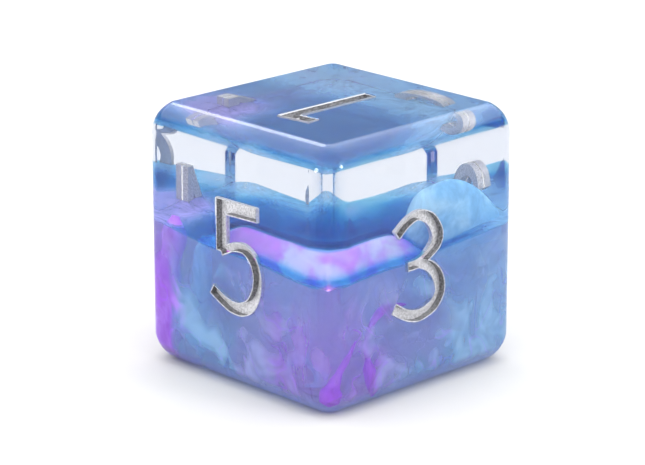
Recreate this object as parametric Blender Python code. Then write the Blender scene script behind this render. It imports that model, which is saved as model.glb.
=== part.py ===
"""Six-sided gaming die: two pours of resin with ink trapped between them, and painted numerals.

The die stands on its six. The five faces -Y, the three faces +X and the one faces up; opposite faces add
up to seven. Sizes are metres, +Z is up, and the origin is the centre of the face that it stands on.
"""

import math

import bmesh
import bpy
from mathutils import Matrix, Vector
from mathutils.geometry import delaunay_2d_cdt

MM = 0.001

# Body
DIE_SIZE = 16.0 * MM
EDGE_RADIUS = 1.6 * MM
EDGE_SEGMENTS = 6
CORNER_TRIM = 0.15 * MM  # how far each corner's tip is ground back
SHARP_ANGLE = math.radians(40)
SPHERE_SUBDIVISIONS = 5

# Boundary between the pours: a wavy surface
BOUNDARY_HEIGHT = 8.9 * MM
BOUNDARY_RISE = 0.6 * MM  # from the front edge to the back edge
BOUNDARY_WAVE = 0.14 * MM
BOUNDARY_WAVELENGTH = 9.0 * MM
BOUNDARY_PHASE = 1.0  # radians, of the waves from front to back
BOUNDARY_CELLS = 12
FILM_THICKNESS = 0.35 * MM

# Fits between neighbours
POUR_CLEARANCE = 0.03 * MM
INK_CLEARANCE = 0.03 * MM
PAINT_CLEARANCE = 0.02 * MM

# Numerals
NUMERAL_HEIGHT = 7.0 * MM
STROKE_WIDTH = 0.86 * MM
DRAWN_HEIGHT = 7.0  # the numerals' points below are drawn at this height
DRAWN_WIDTH = 0.86  # and with a stroke this wide
CURVE_STEPS = 2
GROOVE_DEPTH = 0.55 * MM
PAINT_THICKNESS = 0.12 * MM
PAINT_RECESS = 0.04 * MM  # from the face down to the rim of the paint
CUTTER_OVERRUN = 1.0 * MM  # how far a cutter stands out of what it cuts
RING_SIDES = 20
MERGE_SHARE = 1e-5  # of a numeral's height: outline points this close are one

# Ink bodies; places are measured from the die's walls
PLUME_RADIUS = 0.95 * MM
PLUME_END_HEIGHT = 1.3 * MM
PLUME_FROM_LEFT = 2.0 * MM
PLUME_FROM_FRONT = 2.1 * MM
PLUME_LEAN = 0.4 * MM
PLUME_SWELL = 0.3  # shares of the radius, here and below
PLUME_PHASE = 0.6
PLUME_TAPER = 0.45
DRIP_STEM_RADIUS = 0.22 * MM
DRIP_BULB_RADIUS = 0.55 * MM
DRIP_LEAN = 0.3 * MM
DRIP_MOUTH = 2.2  # how much wider than its stem a drip starts
DRIP_MOUTH_END = 0.45  # shares of a drip's length
DRIP_BULB_MIDDLE = 0.9
LONG_DRIP_END_HEIGHT = 1.7 * MM
LONG_DRIP_FROM_RIGHT = 2.0 * MM
LONG_DRIP_FROM_FRONT = 4.4 * MM
LONG_DRIP_SWING = -1.1 * MM
SHORT_DRIP_END_HEIGHT = 0.9 * MM
SHORT_DRIP_FROM_RIGHT = 1.9 * MM
SHORT_DRIP_FROM_FRONT = 2.3 * MM
SHORT_DRIP_SWING = -0.6 * MM
VEIL_RADIUS = 1.0 * MM
VEIL_DEPTH = 1.5 * MM
VEIL_FROM_RIGHT = 4.4 * MM
VEIL_FROM_FRONT = 2.2 * MM
VEIL_TAPER = 0.4
COLUMN_RADIUS = 0.95 * MM
COLUMN_END_HEIGHT = 1.6 * MM
COLUMN_FROM_LEFT = 4.8 * MM
COLUMN_FROM_FRONT = 2.6 * MM
COLUMN_LEAN = -0.2 * MM
COLUMN_TAPER = 0.35
COLUMN_SWELL = 0.1
COLUMN_SWELLS = 2
DOME_WIDTH = 8.4 * MM
DOME_DEPTH = 3.8 * MM
DOME_HEIGHT = 3.3 * MM
DOME_OFF_MIDDLE = 2.2 * MM  # towards the two
DOME_COVER = 0.35 * MM  # clear resin between the dome and the groove of the three
CURL_RADIUS = 0.7 * MM
CURL_TUBE_RADIUS = 0.24 * MM
CURL_HEIGHT = 1.8 * MM
CURL_FROM_SIDES = 2.6 * MM
CURL_DROP_SHARE = 0.45  # share of the curl's route that runs straight down
CURL_TURN = math.radians(300)
CURL_START = 1.2
CURL_TAPER = 0.5
ROUTE_STEP = 0.01  # share of a route over which its direction is measured
INK_SIDES = 12
INK_RINGS = 10
CURL_RINGS = 16
DOME_SEGMENTS = 20

HALF = DIE_SIZE / 2


def clear_scene():
    for obj in list(bpy.data.objects):
        bpy.data.objects.remove(obj)


def material(name, colour, roughness, metallic=0.0, transmission=0.0):
    made = bpy.data.materials.new(name)
    made.use_nodes = True
    made.diffuse_color = colour
    shader = made.node_tree.nodes["Principled BSDF"]
    shader.inputs["Base Color"].default_value = colour
    shader.inputs["Roughness"].default_value = roughness
    shader.inputs["Metallic"].default_value = metallic
    shader.inputs["Transmission Weight"].default_value = transmission
    return made


def clear_resin():
    return material("clear_resin", (0.86, 0.90, 0.94, 1), 0.04, transmission=1.0)


def tinted_resin():
    return material("tinted_resin", (0.32, 0.36, 0.74, 1), 0.08)


def blue_ink():
    return material("blue_ink", (0.03, 0.23, 0.56, 1), 0.2)


def pale_blue_ink():
    return material("pale_blue_ink", (0.24, 0.50, 0.80, 1), 0.2)


def purple_ink():
    return material("purple_ink", (0.33, 0.09, 0.62, 1), 0.2)


def violet_ink():
    return material("violet_ink", (0.55, 0.42, 0.85, 1), 0.2)


def silver_paint():
    return material("silver_paint", (0.72, 0.72, 0.75, 1), 0.38, metallic=0.9)


def add_object(name, mesh_data, surface=None):
    made = bpy.data.objects.new(name, mesh_data)
    bpy.context.scene.collection.objects.link(made)
    if surface:
        made.data.materials.append(surface)
    return made


def mesh_from(shape, name):
    bmesh.ops.recalc_face_normals(shape, faces=shape.faces)
    data = bpy.data.meshes.new(name)
    shape.to_mesh(data)
    shape.free()
    data.shade_smooth()
    data.set_sharp_from_angle(angle=SHARP_ANGLE)
    return data


def as_cutter(obj):
    obj.hide_render = True
    obj.display_type = "WIRE"
    return obj


def add_boolean(obj, other, operation):
    modifier = obj.modifiers.new(f"{operation.lower()} {other.name}", "BOOLEAN")
    modifier.operation = operation
    modifier.object = other


# Body


def filleted_cube(name):
    shape = bmesh.new()
    bmesh.ops.create_cube(shape, size=DIE_SIZE, matrix=Matrix.Translation((0, 0, HALF)))
    bmesh.ops.bevel(
        shape,
        geom=shape.edges[:],
        offset=EDGE_RADIUS,
        offset_type="OFFSET",
        segments=EDGE_SEGMENTS,
        profile=0.5,
        affect="EDGES",
        material=-1,
    )
    return mesh_from(shape, name)


def corner_sphere():
    """A sphere about the die's centre, which grinds the eight corners back."""
    tip = math.sqrt(3) * (HALF - EDGE_RADIUS) + EDGE_RADIUS
    shape = bmesh.new()
    bmesh.ops.create_icosphere(
        shape, subdivisions=SPHERE_SUBDIVISIONS, radius=tip - CORNER_TRIM, matrix=Matrix.Translation((0, 0, HALF))
    )
    return as_cutter(add_object("corner_sphere", mesh_from(shape, "corner_sphere")))


def boundary_height(x, y):
    """Height of the boundary's middle, which rises from the front edge (+X, -Y) to the back edge."""
    towards_back = (y - x) / (2 * DIE_SIZE)
    across = (x + y) / BOUNDARY_WAVELENGTH
    along = (y - x) / BOUNDARY_WAVELENGTH
    wave = math.sin(math.tau * across) + math.cos(math.tau * along + BOUNDARY_PHASE)
    return BOUNDARY_HEIGHT + BOUNDARY_RISE * towards_back + BOUNDARY_WAVE * wave


def layer_block(name, low, high):
    """A block wider than the die, between two heights, each given as a function of x and y."""
    shape = bmesh.new()
    bmesh.ops.create_grid(
        shape, x_segments=BOUNDARY_CELLS, y_segments=BOUNDARY_CELLS, size=HALF + CUTTER_OVERRUN
    )
    bmesh.ops.triangulate(shape, faces=shape.faces[:])
    lower = shape.verts[:]
    raised = bmesh.ops.extrude_face_region(shape, geom=shape.faces[:])
    upper = [item for item in raised["geom"] if isinstance(item, bmesh.types.BMVert)]
    for vert in lower:
        vert.co.z = low(vert.co.x, vert.co.y)
    for vert in upper:
        vert.co.z = high(vert.co.x, vert.co.y)
    return as_cutter(add_object(name, mesh_from(shape, name)))


def film_offset(offset):
    return lambda x, y: boundary_height(x, y) + offset


def level(height):
    return lambda x, y: height


def pour_regions():
    """Blocks that hold the lower pour, the film and the upper pour, with a clearance between them."""
    half_film = FILM_THICKNESS / 2
    lower = layer_block(
        "lower_region", level(-CUTTER_OVERRUN), film_offset(-half_film - POUR_CLEARANCE)
    )
    film = layer_block("film_region", film_offset(-half_film), film_offset(half_film))
    upper = layer_block(
        "upper_region", film_offset(half_film + POUR_CLEARANCE), level(DIE_SIZE + CUTTER_OVERRUN)
    )
    return lower, film, upper


def cast_layer(name, surface, sphere, region):
    made = add_object(name, filleted_cube(name), surface)
    add_boolean(made, sphere, "INTERSECT")
    add_boolean(made, region, "INTERSECT")
    return made


# Numerals, each a list of strokes; a stroke is a list of drawn points (across, up, width), from the face's
# centre


def curved(points):
    """A stroke's points joined by a smooth curve."""
    made = []
    for index in range(len(points) - 1):
        before = Vector(points[max(index - 1, 0)])
        first, second = Vector(points[index]), Vector(points[index + 1])
        after = Vector(points[min(index + 2, len(points) - 1)])
        for step in range(CURVE_STEPS):
            part = step / CURVE_STEPS
            straight = 2 * first + (second - before) * part
            bend = (2 * before - 5 * first + 4 * second - after) * part**2
            twist = (3 * first - before - 3 * second + after) * part**3
            made.append(tuple((straight + bend + twist) / 2))
    return made + [points[-1]]


def one():
    return [[(-2.3, 3.62, 0.9), (-0.45, 3.8, 0.9), (-0.45, -2.85, 0.86)]]


def two():
    bowl = [(-1.75, 2.0, 0.7), (-1.35, 2.75, 0.75), (-0.4, 3.15, 0.7), (0.75, 2.9, 0.8), (1.5, 2.1, 0.95)]
    sweep = [(1.45, 1.1, 0.95), (0.6, -0.4, 0.85), (-0.7, -1.8, 0.8), (-1.9, -3.05, 0.8)]
    return [curved(bowl + sweep), [(-2.1, -3.05, 0.86), (2.1, -3.05, 0.86)]]


def three():
    upper = [(-2.47, 2.02, 0.66), (-1.62, 2.63, 0.62), (-0.7, 2.89, 0.6), (0.25, 2.5, 0.78)]
    upper += [(0.84, 1.6, 0.95), (0.78, 0.95, 0.95), (0.2, 0.42, 0.72), (-0.6, 0.02, 0.62)]
    upper += [(-1.56, -0.05, 0.56)]
    lower = [(-0.9, 0.0, 0.5), (-0.3, -0.12, 0.6), (0.38, -0.48, 0.72), (0.96, -1.2, 0.86)]
    lower += [(1.12, -2.1, 0.86), (0.6, -2.82, 0.84), (-0.3, -3.15, 0.78), (-0.95, -3.15, 0.74)]
    lower += [(-1.75, -2.9, 0.66), (-2.71, -2.31, 0.66)]
    return [curved(upper), curved(lower)]


def four():
    diagonal = [(0.9, 3.15, 0.86), (-2.1, -1.1, 0.86), (2.3, -1.1, 0.86)]
    return [diagonal, [(0.9, 3.36, 0.86), (0.9, -3.36, 0.86)]]


def five():
    bar_and_stem = [(2.06, 3.1, 0.86), (-0.93, 3.05, 0.92), (-0.93, 0.3, 0.96)]
    bowl = [(-1.0, 0.28, 0.5), (-0.55, 0.5, 0.5), (0.02, 0.76, 0.52), (0.9, 0.85, 0.6), (1.65, 0.42, 0.68)]
    bowl += [(2.06, -0.45, 0.74), (2.0, -1.5, 0.78), (1.5, -2.42, 0.82), (0.7, -2.88, 0.82)]
    bowl += [(-0.2, -2.88, 0.78), (-1.0, -2.6, 0.72), (-1.84, -2.17, 0.68)]
    return [bar_and_stem, curved(bowl)]


def six():
    ring = []
    for step in range(RING_SIDES + 1):
        angle = math.pi - math.tau * step / RING_SIDES
        ring.append((1.78 * math.cos(angle), -1.2 + 1.85 * math.sin(angle), 0.86))
    tail = [(-1.78, -1.2, 0.86), (-1.7, 0.2, 0.86), (-1.2, 1.7, 0.84), (-0.3, 2.75, 0.8), (0.7, 3.35, 0.76)]
    return [ring, curved(tail)]


# Each face's numeral: (strokes, which way the face looks, up of the numeral)
FACES = {
    "one": (one, Vector((0, 0, 1)), Vector((0, -1, 0))),
    "two": (two, Vector((0, 1, 0)), Vector((0, 0, 1))),
    "three": (three, Vector((1, 0, 0)), Vector((0, 0, 1))),
    "four": (four, Vector((-1, 0, 0)), Vector((0, 0, 1))),
    "five": (five, Vector((0, -1, 0)), Vector((0, 0, 1))),
    "six": (six, Vector((0, 0, -1)), Vector((-1, 0, 0))),
}


def face_frame(looks, up):
    """Matrix from a numeral's own axes (across, up, out of the face) to the die."""
    across = up.cross(looks)
    turn = Matrix((across, up, looks)).transposed().to_4x4()
    middle = Vector((0, 0, HALF)) + looks * HALF
    return Matrix.Translation(middle) @ turn


def sides_of(points, inset):
    """The two sides of a stroke, mitred at its corners, after its outline is pulled in by inset.

    A stroke whose ends meet is a ring.
    """
    spots = [Vector(point[:2]) * NUMERAL_HEIGHT / DRAWN_HEIGHT for point in points]
    widths = [point[2] * STROKE_WIDTH / DRAWN_WIDTH for point in points]
    ring = (spots[0] - spots[-1]).length < STROKE_WIDTH / 100
    count = len(spots) - ring
    left, right = [], []
    for index in range(count):
        spot = spots[index]
        before = spots[(index - 1) % count] if ring or index else None
        after = spots[(index + 1) % count] if ring or index < count - 1 else None
        arriving = (spot - before).normalized() if before else None
        leaving = (after - spot).normalized() if after else None
        heading = ((arriving or leaving) + (leaving or arriving)).normalized()
        reach = (widths[index] / 2 - inset) / heading.dot(leaving or arriving)
        pull = inset * ((not before) - (not after))
        square = Vector((-heading.y, heading.x)) * reach
        left.append(spot + heading * pull + square)
        right.append(spot + heading * pull - square)
    if ring:
        left.append(left[0])
        right.append(right[0])
    return left, right


def numeral_area(strokes, inset):
    """Flat triangles that cover all of a numeral's strokes once: (points, faces)."""
    corners, pieces = [], []
    for points in strokes:
        left, right = sides_of(points, inset)
        for index in range(len(left) - 1):
            pieces.append([len(corners) + step for step in range(4)])
            corners += [left[index], right[index], right[index + 1], left[index + 1]]
    enlarged = [corner / NUMERAL_HEIGHT for corner in corners]
    found = delaunay_2d_cdt(enlarged, [], pieces, 1, MERGE_SHARE)
    inside = [face for face, sources in zip(found[2], found[5]) if sources]
    return [spot * NUMERAL_HEIGHT for spot in found[0]], inside


def numeral_prism(name, label, inset, low, high):
    """A numeral's area, drawn out along the normal of its face from low to high."""
    numeral, looks, up = FACES[name]
    points, faces = numeral_area(numeral(), inset)
    shape = bmesh.new()
    verts = [shape.verts.new((spot.x, spot.y, low)) for spot in points]
    for face in faces:
        shape.faces.new([verts[index] for index in face])
    bmesh.ops.delete(shape, geom=[vert for vert in verts if not vert.link_faces], context="VERTS")
    raised = bmesh.ops.extrude_face_region(shape, geom=shape.faces[:])
    for item in raised["geom"]:
        if isinstance(item, bmesh.types.BMVert):
            item.co.z = high
    bmesh.ops.transform(shape, matrix=face_frame(looks, up), verts=shape.verts)
    return add_object(f"{label}_{name}", mesh_from(shape, f"{label}_{name}"))


def cut_groove(name, layers):
    cutter = as_cutter(numeral_prism(name, "groove", 0.0, -GROOVE_DEPTH, CUTTER_OVERRUN))
    for layer in layers:
        add_boolean(layer, cutter, "DIFFERENCE")


def paint_lining(name, surface):
    """Paint that coats the floor and the walls of a numeral's groove."""
    floor = -GROOVE_DEPTH + PAINT_CLEARANCE
    lining = numeral_prism(name, "paint", PAINT_CLEARANCE, floor, -PAINT_RECESS)
    lining.data.materials.append(surface)
    inset = PAINT_CLEARANCE + PAINT_THICKNESS
    inside = numeral_prism(name, "inside", inset, floor + PAINT_THICKNESS, CUTTER_OVERRUN)
    add_boolean(lining, as_cutter(inside), "DIFFERENCE")


# Ink bodies


def smooth_step(value):
    value = min(1.0, max(0.0, value))
    return value * value * (3 - 2 * value)


def tube_through(name, route, radius, grow=0.0, ring_count=INK_RINGS):
    """A round tube; route and radius are functions of how far along it a ring is, from 0 to 1."""
    shape = bmesh.new()
    rings = []
    for step in range(ring_count + 1):
        share = step / ring_count
        centre = route(share)
        ahead = route(share + ROUTE_STEP) - route(share - ROUTE_STEP)
        turn = ahead.to_track_quat("Z", "Y").to_matrix()
        ring = []
        for side in range(INK_SIDES):
            angle = math.tau * side / INK_SIDES
            spoke = Vector((math.cos(angle), math.sin(angle), 0)) * (radius(share) + grow)
            ring.append(shape.verts.new(centre + turn @ spoke))
        rings.append(ring)
    for first, second in zip(rings, rings[1:]):
        for side in range(INK_SIDES):
            after = (side + 1) % INK_SIDES
            shape.faces.new((first[side], first[after], second[after], second[side]))
    shape.faces.new(rings[0])
    shape.faces.new(rings[-1])
    return mesh_from(shape, name)


def hanging_route(x, y, end_height, lean_x=0.0, lean_y=0.0):
    """A line from above the boundary down to end_height, leaning a little as it sinks."""
    top = BOUNDARY_HEIGHT + CUTTER_OVERRUN

    def spot(share):
        lean = smooth_step(share)
        return Vector((x + lean_x * lean, y + lean_y * lean, top + (end_height - top) * share))

    return spot


def plume_radius(share):
    swell = 1 - PLUME_SWELL + PLUME_SWELL * math.sin(math.tau * share + PLUME_PHASE)
    return PLUME_RADIUS * swell * (1 - PLUME_TAPER * share)


def drip_radius(share):
    """Wide where it leaves the film, thin along its stem and round at its bulb."""
    mouth = DRIP_MOUTH * DRIP_STEM_RADIUS * (1 - smooth_step(share / DRIP_MOUTH_END))
    bulb = max(0.0, 1 - ((share - DRIP_BULB_MIDDLE) / (1 - DRIP_BULB_MIDDLE)) ** 2)
    return max(DRIP_STEM_RADIUS + mouth, DRIP_BULB_RADIUS * math.sqrt(bulb))


def column_radius(share):
    swell = 1 - COLUMN_SWELL + COLUMN_SWELL * math.cos(math.tau * COLUMN_SWELLS * share)
    return COLUMN_RADIUS * (1 - COLUMN_TAPER * share) * swell


def veil_radius(share):
    return VEIL_RADIUS * (1 - VEIL_TAPER * smooth_step(share))


def hanging_inks():
    """(name, route, radius, surface) of each body that hangs from the film into the lower pour."""
    left, right, front = -HALF, HALF, -HALF
    plume = hanging_route(left + PLUME_FROM_LEFT, front + PLUME_FROM_FRONT, PLUME_END_HEIGHT, PLUME_LEAN)
    long_drip = hanging_route(
        right - LONG_DRIP_FROM_RIGHT,
        front + LONG_DRIP_FROM_FRONT,
        LONG_DRIP_END_HEIGHT,
        DRIP_LEAN,
        LONG_DRIP_SWING,
    )
    short_drip = hanging_route(
        right - SHORT_DRIP_FROM_RIGHT,
        front + SHORT_DRIP_FROM_FRONT,
        SHORT_DRIP_END_HEIGHT,
        DRIP_LEAN,
        SHORT_DRIP_SWING,
    )
    veil = hanging_route(right - VEIL_FROM_RIGHT, front + VEIL_FROM_FRONT, BOUNDARY_HEIGHT - VEIL_DEPTH)
    column = hanging_route(left + COLUMN_FROM_LEFT, front + COLUMN_FROM_FRONT, COLUMN_END_HEIGHT, COLUMN_LEAN)
    return [
        ("purple_ink_plume", plume, plume_radius, purple_ink),
        ("long_ink_drip", long_drip, drip_radius, purple_ink),
        ("short_ink_drip", short_drip, drip_radius, purple_ink),
        ("violet_ink_veil", veil, veil_radius, violet_ink),
        ("blue_ink_column", column, column_radius, pale_blue_ink),
    ]


def curl_route(share):
    """Straight down from the film, then round a loop that stands across the front edge."""
    inwards = Vector((-1, 1, 0)).normalized()
    sideways = Vector((1, 1, 0)).normalized()
    foot = Vector((HALF, -HALF, 0)) + inwards * CURL_FROM_SIDES * math.sqrt(2) - sideways * CURL_RADIUS
    if share < CURL_DROP_SHARE:
        top = BOUNDARY_HEIGHT + CUTTER_OVERRUN
        return foot + Vector((0, 0, top + (CURL_HEIGHT - top) * share / CURL_DROP_SHARE))
    angle = CURL_TURN * (share - CURL_DROP_SHARE) / (1 - CURL_DROP_SHARE)
    along = sideways * CURL_RADIUS * (1 - math.cos(angle))
    return foot + along + Vector((0, 0, CURL_HEIGHT - CURL_RADIUS * math.sin(angle)))


def curl_radius(share):
    return CURL_TUBE_RADIUS * (CURL_START - CURL_TAPER * share)


def add_curl(lower_pour, region):
    name = "pale_ink_curl"
    body = add_object(name, tube_through(name, curl_route, curl_radius, 0.0, CURL_RINGS), pale_blue_ink())
    add_boolean(body, region, "INTERSECT")
    room = tube_through(name, curl_route, curl_radius, INK_CLEARANCE, CURL_RINGS)
    add_boolean(lower_pour, as_cutter(add_object(f"pocket_{name}", room)), "DIFFERENCE")


def dome_shape(name, grow):
    """An ellipsoid whose middle is on the boundary, close behind the groove of the three."""
    inset = GROOVE_DEPTH + DOME_COVER + DOME_DEPTH / 2
    centre = Vector((HALF - inset, DOME_OFF_MIDDLE, BOUNDARY_HEIGHT))
    sides = (DOME_DEPTH / 2 + grow, DOME_WIDTH / 2 + grow, DOME_HEIGHT + grow)
    shape = bmesh.new()
    bmesh.ops.create_uvsphere(
        shape,
        u_segments=DOME_SEGMENTS,
        v_segments=DOME_SEGMENTS // 2,
        radius=1.0,
        matrix=Matrix.Translation(centre) @ Matrix.Diagonal((*sides, 1)),
    )
    return mesh_from(shape, name)


def add_dome(upper_pour, region):
    body = add_object("blue_ink_dome", dome_shape("blue_ink_dome", 0.0), pale_blue_ink())
    add_boolean(body, region, "INTERSECT")
    pocket = as_cutter(add_object("pocket_dome", dome_shape("pocket_dome", INK_CLEARANCE)))
    add_boolean(upper_pour, pocket, "DIFFERENCE")


def add_hanging_inks(lower_pour, region):
    for name, route, radius, surface in hanging_inks():
        body = add_object(name, tube_through(name, route, radius), surface())
        add_boolean(body, region, "INTERSECT")
        pocket = add_object(f"pocket_{name}", tube_through(name, route, radius, INK_CLEARANCE))
        add_boolean(lower_pour, as_cutter(pocket), "DIFFERENCE")


def main():
    clear_scene()
    sphere = corner_sphere()
    lower_region, film_region, upper_region = pour_regions()
    upper_pour = cast_layer("clear_upper_pour", clear_resin(), sphere, upper_region)
    lower_pour = cast_layer("tinted_lower_pour", tinted_resin(), sphere, lower_region)
    film = cast_layer("blue_ink_film", blue_ink(), sphere, film_region)
    cut_groove("one", [upper_pour])
    cut_groove("six", [lower_pour])
    for name in ("two", "three", "four", "five"):
        cut_groove(name, [upper_pour, film, lower_pour])
    for name in FACES:
        paint_lining(name, silver_paint())
    add_hanging_inks(lower_pour, lower_region)
    add_curl(lower_pour, lower_region)
    add_dome(upper_pour, upper_region)


main()
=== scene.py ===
"""Six-sided gaming die: clear resin over a milky swirled pour, ink trapped between them, silver numerals."""

import math

import bmesh
import bpy
from mathutils import Matrix, Vector, noise
from mathutils.geometry import delaunay_2d_cdt


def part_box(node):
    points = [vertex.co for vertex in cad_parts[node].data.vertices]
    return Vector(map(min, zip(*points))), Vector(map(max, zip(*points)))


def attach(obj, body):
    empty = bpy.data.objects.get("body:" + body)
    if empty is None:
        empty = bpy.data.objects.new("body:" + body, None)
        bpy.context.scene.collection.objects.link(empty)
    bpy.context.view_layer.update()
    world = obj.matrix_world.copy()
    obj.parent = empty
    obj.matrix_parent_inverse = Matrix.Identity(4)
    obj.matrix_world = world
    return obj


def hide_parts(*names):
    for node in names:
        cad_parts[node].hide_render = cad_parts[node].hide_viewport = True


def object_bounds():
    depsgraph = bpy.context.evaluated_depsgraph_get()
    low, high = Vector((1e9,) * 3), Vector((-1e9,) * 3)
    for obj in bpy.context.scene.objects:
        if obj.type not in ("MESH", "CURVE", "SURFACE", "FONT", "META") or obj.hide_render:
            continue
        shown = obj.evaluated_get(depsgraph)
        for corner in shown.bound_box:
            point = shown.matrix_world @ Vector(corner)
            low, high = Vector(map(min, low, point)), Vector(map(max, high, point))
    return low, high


bl_info = {
    "name": "Resin Die Workshop",
    "version": (1, 0, 0),
    "blender": (4, 5, 0),
    "location": "View3D > Sidebar > Resin Die",
    "description": "Makes the polished resin, inks, numeral paint and studio of a six-sided die",
    "category": "Object",
}

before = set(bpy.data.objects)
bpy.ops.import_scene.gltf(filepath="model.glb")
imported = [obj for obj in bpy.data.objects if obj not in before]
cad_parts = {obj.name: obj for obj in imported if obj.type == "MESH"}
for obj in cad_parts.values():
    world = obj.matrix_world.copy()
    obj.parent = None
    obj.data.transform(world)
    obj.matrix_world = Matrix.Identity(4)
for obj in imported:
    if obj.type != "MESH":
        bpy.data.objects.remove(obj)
cad_low, cad_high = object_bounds()

MM = 0.001
SIDE = cad_high.z - cad_low.z
HALF = SIDE / 2
MIDDLE = (cad_low + cad_high) / 2
GROOVE_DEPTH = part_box("paint_five")[1].y - cad_low.y
FILM_LOW, FILM_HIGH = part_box("blue_ink_film")
BOUNDARY = (FILM_LOW.z + FILM_HIGH.z) / 2
DRAWN_HEIGHT = 7  # the height that the numerals' points are drawn at, in millimetres
SKIN = 0.04 * MM  # how far the inner pours stay under the clear block's surface and clear of the paint
OVERCUT = 0.4 * MM  # how far a cutting shape runs out past a face
PAINT_FLOOR = 0.07 * MM
PAINT_WALL = 0.06 * MM
PAINT_RIM = 0.06 * MM  # how far the paint ends below a face
BOND = 0.012 * MM  # how far the paint reaches into the clear block

# The boundary between the pours, and the ink film on it
RISE = 1.4 * MM  # from the front upright edge to the back one
WAVE_HEIGHT = 0.06 * MM
WAVE_LENGTH = 9.0 * MM
WAVE_PHASE = 1.0
RIDGE = 1.5 * MM  # height of the long ridge behind the two front walls
DIP = 0.1 * MM  # depth of the boundary's dip where it meets them
FILM_DRIFT = 0.3  # shares of the film's thickness, here and below
LEFT_FILM = 0.2
BACK_FILM = 0.3
SLOPE_LOSS = 0.94
RIM_GAIN = 0.35

# The studio
LAMP_DISTANCE = 0.35
TABLE_TONES = (0.49, 0.51)
ROOM_LEVELS = (0.48, 2.9)  # brightness of the room's walls and of its ceiling
ROOM_HEIGHTS = (0.34, 0.60)  # the way up, as a share, where the walls end and the ceiling begins


# Settings


class DieSizes(bpy.types.PropertyGroup):
    edge_radius: bpy.props.FloatProperty(
        name="Edge radius",
        description="Rounding of the twelve edges",
        default=1.6 * MM,
        min=0.5 * MM,
        subtype="DISTANCE",
        unit="LENGTH",
    )
    corner_trim: bpy.props.FloatProperty(
        name="Corner trim",
        description="How far each corner's tip is tumbled back",
        default=0.15 * MM,
        min=0.0,
        subtype="DISTANCE",
        unit="LENGTH",
    )
    numeral_height: bpy.props.FloatProperty(
        name="Numeral height",
        description="Height of every numeral",
        default=7.0 * MM,
        min=3.0 * MM,
        subtype="DISTANCE",
        unit="LENGTH",
    )
    film_thickness: bpy.props.FloatProperty(
        name="Ink film",
        description="Thickness of the blue ink between the pours where it is strongest",
        default=0.32 * MM,
        min=0.02 * MM,
        subtype="DISTANCE",
        unit="LENGTH",
    )


class DieColours(bpy.types.PropertyGroup):
    milk_blue: bpy.props.FloatVectorProperty(
        name="Milk blue",
        description="Pale blue streaks of the lower pour",
        subtype="COLOR",
        size=3,
        default=(0.22, 0.66, 1.0),
        min=0.0,
        max=1.0,
    )
    milk_lavender: bpy.props.FloatVectorProperty(
        name="Milk lavender",
        description="Lavender streaks of the lower pour",
        subtype="COLOR",
        size=3,
        default=(0.42, 0.46, 1.0),
        min=0.0,
        max=1.0,
    )
    milk_white: bpy.props.FloatVectorProperty(
        name="Milk white",
        description="Palest streaks of the lower pour",
        subtype="COLOR",
        size=3,
        default=(0.84, 0.88, 1.0),
        min=0.0,
        max=1.0,
    )
    purple: bpy.props.FloatVectorProperty(
        name="Purple ink",
        description="Plume and drips",
        subtype="COLOR",
        size=3,
        default=(0.44, 0.09, 0.90),
        min=0.0,
        max=1.0,
    )
    silver: bpy.props.FloatVectorProperty(
        name="Silver paint",
        description="Flakes of the numeral paint",
        subtype="COLOR",
        size=3,
        default=(0.78, 0.78, 0.82),
        min=0.0,
        max=1.0,
    )


class StudioSettings(bpy.types.PropertyGroup):
    softbox_power: bpy.props.FloatProperty(
        name="Softboxes",
        description="Power of each of the two front softboxes, in watts; the back one has an eighth of it",
        default=0.35,
        min=0.0,
    )
    lens: bpy.props.FloatProperty(
        name="Lens",
        description="Focal length of the camera",
        default=159.0,
        min=10.0,
    )
    distance: bpy.props.FloatProperty(
        name="Distance",
        description="From the die's middle to the camera",
        default=0.170,
        subtype="DISTANCE",
        unit="LENGTH",
    )
    elevation: bpy.props.FloatProperty(
        name="Elevation",
        description="Height of the camera above the horizon",
        default=math.radians(17.5),
        subtype="ANGLE",
        unit="ROTATION",
    )
    azimuth: bpy.props.FloatProperty(
        name="Azimuth",
        description="How far the camera stands round from the five",
        default=math.radians(45.7),
        subtype="ANGLE",
        unit="ROTATION",
    )
    shift_x: bpy.props.FloatProperty(
        name="Shift across",
        description="Lens shift across",
        default=-0.0130,
    )
    shift_y: bpy.props.FloatProperty(
        name="Shift up",
        description="Lens shift up",
        default=-0.0023,
    )


# Shapes


def new_object(name, mesh, *surfaces):
    """Links a finished mesh, whose place is already in its points."""
    made = bpy.data.objects.new(name, mesh)
    bpy.context.scene.collection.objects.link(made)
    if surfaces:
        mesh.materials.clear()
    for surface in surfaces:
        mesh.materials.append(surface)
    return made


def add_piece(name, mesh, slot, stands_for, *surfaces):
    """Links a piece of the die in place of its CAD node, riding on the die's one body."""
    made = new_object(name, mesh, *surfaces)
    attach(made, "root")
    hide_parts(stands_for)


def finished_mesh(shape, name, smooth=True):
    bmesh.ops.recalc_face_normals(shape, faces=shape.faces)
    mesh = bpy.data.meshes.new(name)
    shape.to_mesh(mesh)
    shape.free()
    if smooth:
        mesh.shade_smooth()
    return mesh


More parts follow.
